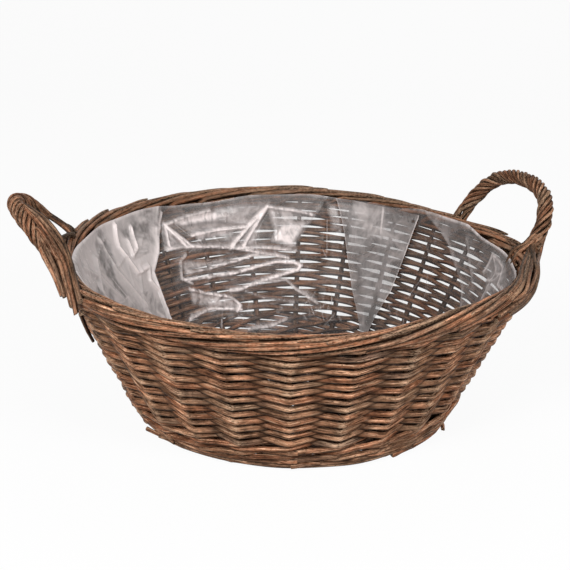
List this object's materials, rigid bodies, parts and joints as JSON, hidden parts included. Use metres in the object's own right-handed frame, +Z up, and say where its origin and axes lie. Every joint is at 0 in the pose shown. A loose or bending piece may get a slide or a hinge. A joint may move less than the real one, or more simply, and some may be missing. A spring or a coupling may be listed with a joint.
{
  "type": "wicker planter basket",
  "caption": "Low round willow planter basket with a leaning woven wall, rolled border, twisted ear handles and a clear film liner.",
  "frame": {"origin": "centre of the base on the plane that the basket stands on", "axes": "+Z up; +X towards the right handle, with the handles on the +X and -X sides"},
  "size_m": [0.4555, 0.3965, 0.1874],
  "materials": {
    "base_willow": "rough brown bark",
    "weave_willow": "brown unpeeled bark, satin",
    "stake_willow": "brown unpeeled bark, satin",
    "border_willow": "red-brown unpeeled bark, satin",
    "handle_willow": "red-brown unpeeled bark, satin",
    "liner_film": "clear thin film, creased and glossy"
  },
  "bodies": {
    "root": {"base_stick_lower_1": "base_willow", "base_stick_lower_2": "base_willow", "base_stick_lower_3": "base_willow", "base_stick_upper_1": "base_willow", "base_stick_upper_2": "base_willow", "base_stick_upper_3": "base_willow", "base_weave_1": "base_willow", "base_weave_2": "base_willow", "base_weave_3": "base_willow", "base_weave_4": "base_willow", "foot_ring": "weave_willow", "foot_wale_1": "weave_willow", "foot_wale_2": "weave_willow", "weave_course_1": "weave_willow", "weave_course_2": "weave_willow", "weave_course_3": "weave_willow", "weave_course_4": "weave_willow", "weave_course_5": "weave_willow", "weave_course_6": "weave_willow", "weave_course_7": "weave_willow", "weave_course_8": "weave_willow", "stake_01": "stake_willow", "stake_02": "stake_willow", "stake_03": "stake_willow", "stake_04": "stake_willow", "stake_05": "stake_willow", "stake_06": "stake_willow", "stake_07": "stake_willow", "stake_08": "stake_willow", "stake_09": "stake_willow", "stake_10": "stake_willow", "stake_11": "stake_willow", "stake_12": "stake_willow", "stake_13": "stake_willow", "stake_14": "stake_willow", "stake_15": "stake_willow", "stake_16": "stake_willow", "stake_17": "stake_willow", "stake_18": "stake_willow", "stake_19": "stake_willow", "stake_20": "stake_willow", "stake_21": "stake_willow", "stake_22": "stake_willow", "stake_23": "stake_willow", "stake_24": "stake_willow", "top_wale_1": "border_willow", "top_wale_2": "border_willow", "border": "border_willow", "left_handle_bow": "handle_willow", "left_handle_wrap": "handle_willow", "left_handle_front_foot": "handle_willow", "left_handle_back_foot": "handle_willow", "right_handle_bow": "handle_willow", "right_handle_wrap": "handle_willow", "right_handle_front_foot": "handle_willow", "right_handle_back_foot": "handle_willow", "liner": "liner_film"}
  },
  "joints": []
}
